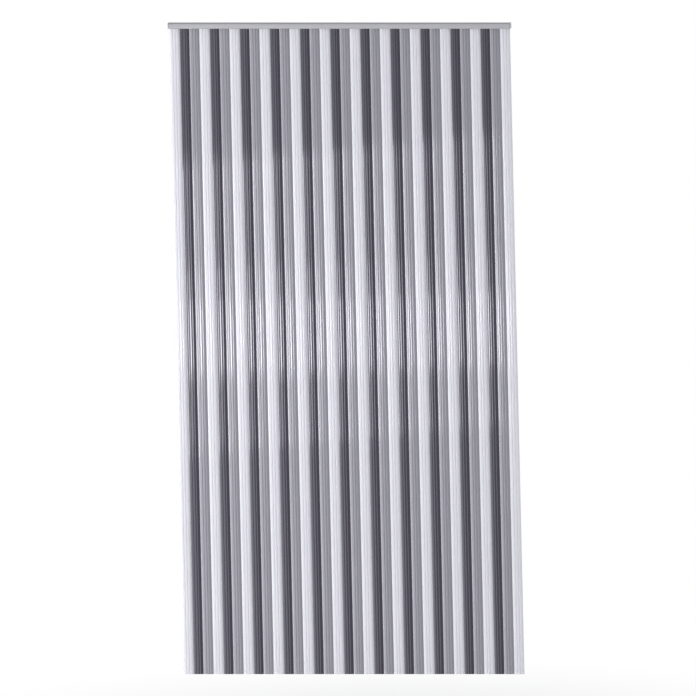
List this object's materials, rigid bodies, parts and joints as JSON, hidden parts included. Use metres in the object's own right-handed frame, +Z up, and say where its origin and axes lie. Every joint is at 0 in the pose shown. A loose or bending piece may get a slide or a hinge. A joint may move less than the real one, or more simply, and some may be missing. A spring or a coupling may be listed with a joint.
{
  "type": "door slat curtain",
  "caption": "Door curtain of ribbed plastic slats in white and two greys that hang from clips on a bead inside an aluminium head rail and swing to let someone through.",
  "frame": {"origin": "middle of the head rail's top face, which is screwed up under a door's lintel", "axes": "+Z up and out of the rail's top face; +X along the rail, to the right seen from the front; the curtain's fluted front faces -Y"},
  "size_m": [1, 0.022, 1.895],
  "materials": {
    "rail_aluminium": "satin anodised extrusion",
    "cap_plastic": "satin moulded",
    "slat_white": "semi-gloss extruded, fluted lengthwise",
    "slat_dark_grey": "semi-gloss extruded, fluted lengthwise",
    "slat_mid_grey": "semi-gloss extruded, fluted lengthwise"
  },
  "bodies": {
    "rail": {"head_rail": "rail_aluminium", "end_cap_left": "cap_plastic", "end_cap_right": "cap_plastic"},
    "slat_01": {"slat_01_white": "slat_white"},
    "slat_02": {"slat_02_dark_grey": "slat_dark_grey"},
    "slat_03": {"slat_03_mid_grey": "slat_mid_grey"},
    "slat_04": {"slat_04_white": "slat_white"},
    "slat_05": {"slat_05_dark_grey": "slat_dark_grey"},
    "slat_06": {"slat_06_mid_grey": "slat_mid_grey"},
    "slat_07": {"slat_07_white": "slat_white"},
    "slat_08": {"slat_08_dark_grey": "slat_dark_grey"},
    "slat_09": {"slat_09_mid_grey": "slat_mid_grey"},
    "slat_10": {"slat_10_white": "slat_white"},
    "slat_11": {"slat_11_dark_grey": "slat_dark_grey"},
    "slat_12": {"slat_12_mid_grey": "slat_mid_grey"},
    "slat_13": {"slat_13_white": "slat_white"},
    "slat_14": {"slat_14_dark_grey": "slat_dark_grey"},
    "slat_15": {"slat_15_mid_grey": "slat_mid_grey"},
    "slat_16": {"slat_16_white": "slat_white"},
    "slat_17": {"slat_17_dark_grey": "slat_dark_grey"},
    "slat_18": {"slat_18_mid_grey": "slat_mid_grey"},
    "slat_19": {"slat_19_white": "slat_white"},
    "slat_20": {"slat_20_dark_grey": "slat_dark_grey"},
    "slat_21": {"slat_21_mid_grey": "slat_mid_grey"},
    "slat_22": {"slat_22_white": "slat_white"},
    "slat_23": {"slat_23_dark_grey": "slat_dark_grey"},
    "slat_24": {"slat_24_mid_grey": "slat_mid_grey"},
    "slat_25": {"slat_25_white": "slat_white"},
    "slat_26": {"slat_26_dark_grey": "slat_dark_grey"},
    "slat_27": {"slat_27_mid_grey": "slat_mid_grey"},
    "slat_28": {"slat_28_white": "slat_white"},
    "slat_29": {"slat_29_dark_grey": "slat_dark_grey"},
    "slat_30": {"slat_30_mid_grey": "slat_mid_grey"},
    "slat_31": {"slat_31_white": "slat_white"},
    "slat_32": {"slat_32_dark_grey": "slat_dark_grey"},
    "slat_33": {"slat_33_mid_grey": "slat_mid_grey"},
    "slat_34": {"slat_34_white": "slat_white"}
  },
  "joints": [
    {"name": "slat_01_swing", "type": "hinge", "parent": "rail", "child": "slat_01", "pos_m": [-0.48258, 0, -0.011], "axis": [1, 0, 0], "range_deg": [-45, 45]},
    {"name": "slat_02_swing", "type": "hinge", "parent": "rail", "child": "slat_02", "pos_m": [-0.45333, 0, -0.011], "axis": [1, 0, 0], "range_deg": [-45, 45]},
    {"name": "slat_03_swing", "type": "hinge", "parent": "rail", "child": "slat_03", "pos_m": [-0.42408, 0, -0.011], "axis": [1, 0, 0], "range_deg": [-45, 45]},
    {"name": "slat_04_swing", "type": "hinge", "parent": "rail", "child": "slat_04", "pos_m": [-0.39483, 0, -0.011], "axis": [1, 0, 0], "range_deg": [-45, 45]},
    {"name": "slat_05_swing", "type": "hinge", "parent": "rail", "child": "slat_05", "pos_m": [-0.36559, 0, -0.011], "axis": [1, 0, 0], "range_deg": [-45, 45]},
    {"name": "slat_06_swing", "type": "hinge", "parent": "rail", "child": "slat_06", "pos_m": [-0.33634, 0, -0.011], "axis": [1, 0, 0], "range_deg": [-45, 45]},
    {"name": "slat_07_swing", "type": "hinge", "parent": "rail", "child": "slat_07", "pos_m": [-0.30709, 0, -0.011], "axis": [1, 0, 0], "range_deg": [-45, 45]},
    {"name": "slat_08_swing", "type": "hinge", "parent": "rail", "child": "slat_08", "pos_m": [-0.27785, 0, -0.011], "axis": [1, 0, 0], "range_deg": [-45, 45]},
    {"name": "slat_09_swing", "type": "hinge", "parent": "rail", "child": "slat_09", "pos_m": [-0.2486, 0, -0.011], "axis": [1, 0, 0], "range_deg": [-45, 45]},
    {"name": "slat_10_swing", "type": "hinge", "parent": "rail", "child": "slat_10", "pos_m": [-0.21935, 0, -0.011], "axis": [1, 0, 0], "range_deg": [-45, 45]},
    {"name": "slat_11_swing", "type": "hinge", "parent": "rail", "child": "slat_11", "pos_m": [-0.19011, 0, -0.011], "axis": [1, 0, 0], "range_deg": [-45, 45]},
    {"name": "slat_12_swing", "type": "hinge", "parent": "rail", "child": "slat_12", "pos_m": [-0.16086, 0, -0.011], "axis": [1, 0, 0], "range_deg": [-45, 45]},
    {"name": "slat_13_swing", "type": "hinge", "parent": "rail", "child": "slat_13", "pos_m": [-0.13161, 0, -0.011], "axis": [1, 0, 0], "range_deg": [-45, 45]},
    {"name": "slat_14_swing", "type": "hinge", "parent": "rail", "child": "slat_14", "pos_m": [-0.10236, 0, -0.011], "axis": [1, 0, 0], "range_deg": [-45, 45]},
    {"name": "slat_15_swing", "type": "hinge", "parent": "rail", "child": "slat_15", "pos_m": [-0.07312, 0, -0.011], "axis": [1, 0, 0], "range_deg": [-45, 45]},
    {"name": "slat_16_swing", "type": "hinge", "parent": "rail", "child": "slat_16", "pos_m": [-0.04387, 0, -0.011], "axis": [1, 0, 0], "range_deg": [-45, 45]},
    {"name": "slat_17_swing", "type": "hinge", "parent": "rail", "child": "slat_17", "pos_m": [-0.01462, 0, -0.011], "axis": [1, 0, 0], "range_deg": [-45, 45]},
    {"name": "slat_18_swing", "type": "hinge", "parent": "rail", "child": "slat_18", "pos_m": [0.01462, 0, -0.011], "axis": [1, 0, 0], "range_deg": [-45, 45]},
    {"name": "slat_19_swing", "type": "hinge", "parent": "rail", "child": "slat_19", "pos_m": [0.04387, 0, -0.011], "axis": [1, 0, 0], "range_deg": [-45, 45]},
    {"name": "slat_20_swing", "type": "hinge", "parent": "rail", "child": "slat_20", "pos_m": [0.07312, 0, -0.011], "axis": [1, 0, 0], "range_deg": [-45, 45]},
    {"name": "slat_21_swing", "type": "hinge", "parent": "rail", "child": "slat_21", "pos_m": [0.10236, 0, -0.011], "axis": [1, 0, 0], "range_deg": [-45, 45]},
    {"name": "slat_22_swing", "type": "hinge", "parent": "rail", "child": "slat_22", "pos_m": [0.13161, 0, -0.011], "axis": [1, 0, 0], "range_deg": [-45, 45]},
    {"name": "slat_23_swing", "type": "hinge", "parent": "rail", "child": "slat_23", "pos_m": [0.16086, 0, -0.011], "axis": [1, 0, 0], "range_deg": [-45, 45]},
    {"name": "slat_24_swing", "type": "hinge", "parent": "rail", "child": "slat_24", "pos_m": [0.19011, 0, -0.011], "axis": [1, 0, 0], "range_deg": [-45, 45]},
    {"name": "slat_25_swing", "type": "hinge", "parent": "rail", "child": "slat_25", "pos_m": [0.21935, 0, -0.011], "axis": [1, 0, 0], "range_deg": [-45, 45]},
    {"name": "slat_26_swing", "type": "hinge", "parent": "rail", "child": "slat_26", "pos_m": [0.2486, 0, -0.011], "axis": [1, 0, 0], "range_deg": [-45, 45]},
    {"name": "slat_27_swing", "type": "hinge", "parent": "rail", "child": "slat_27", "pos_m": [0.27785, 0, -0.011], "axis": [1, 0, 0], "range_deg": [-45, 45]},
    {"name": "slat_28_swing", "type": "hinge", "parent": "rail", "child": "slat_28", "pos_m": [0.30709, 0, -0.011], "axis": [1, 0, 0], "range_deg": [-45, 45]},
    {"name": "slat_29_swing", "type": "hinge", "parent": "rail", "child": "slat_29", "pos_m": [0.33634, 0, -0.011], "axis": [1, 0, 0], "range_deg": [-45, 45]},
    {"name": "slat_30_swing", "type": "hinge", "parent": "rail", "child": "slat_30", "pos_m": [0.36559, 0, -0.011], "axis": [1, 0, 0], "range_deg": [-45, 45]},
    {"name": "slat_31_swing", "type": "hinge", "parent": "rail", "child": "slat_31", "pos_m": [0.39483, 0, -0.011], "axis": [1, 0, 0], "range_deg": [-45, 45]},
    {"name": "slat_32_swing", "type": "hinge", "parent": "rail", "child": "slat_32", "pos_m": [0.42408, 0, -0.011], "axis": [1, 0, 0], "range_deg": [-45, 45]},
    {"name": "slat_33_swing", "type": "hinge", "parent": "rail", "child": "slat_33", "pos_m": [0.45333, 0, -0.011], "axis": [1, 0, 0], "range_deg": [-45, 45]},
    {"name": "slat_34_swing", "type": "hinge", "parent": "rail", "child": "slat_34", "pos_m": [0.48258, 0, -0.011], "axis": [1, 0, 0], "range_deg": [-45, 45]}
  ]
}
